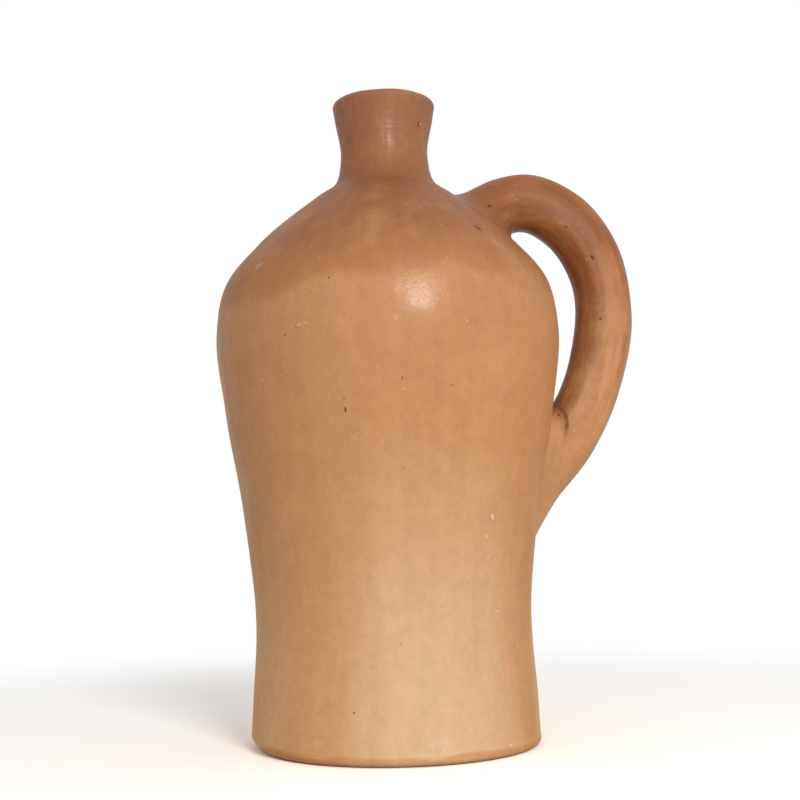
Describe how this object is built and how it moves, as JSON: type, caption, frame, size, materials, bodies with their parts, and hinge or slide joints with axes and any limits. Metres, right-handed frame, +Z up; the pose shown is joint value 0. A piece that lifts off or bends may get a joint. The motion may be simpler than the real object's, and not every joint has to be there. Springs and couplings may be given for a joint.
{
  "type": "terracotta water jar",
  "caption": "Tall bottle-shaped terracotta water jar with a slight waist, sloping shoulder, narrow flared neck and a round side handle from shoulder to flank.",
  "frame": {"origin": "centre of the flat foot, on the plane the jar stands on, under the axis of the thrown body", "axes": "+Z up along the body's axis and out of the mouth, +X towards the handle, +Y across the handle"},
  "size_m": [0.2313, 0.1866, 0.35],
  "materials": {
    "foot_clay": "burnished unglazed earthenware, pale ochre",
    "belly_clay": "burnished unglazed earthenware, ochre tan",
    "shoulder_clay": "burnished unglazed earthenware, warm brown",
    "neck_clay": "burnished unglazed earthenware, red brown",
    "handle_clay": "burnished unglazed earthenware, red brown"
  },
  "bodies": {
    "root": {"base_slab": "foot_clay", "lower_wall": "foot_clay", "belly_wall": "belly_clay", "shoulder": "shoulder_clay", "neck": "neck_clay", "lip": "neck_clay", "handle": "handle_clay", "upper_root": "handle_clay", "lower_root": "handle_clay"}
  },
  "joints": []
}
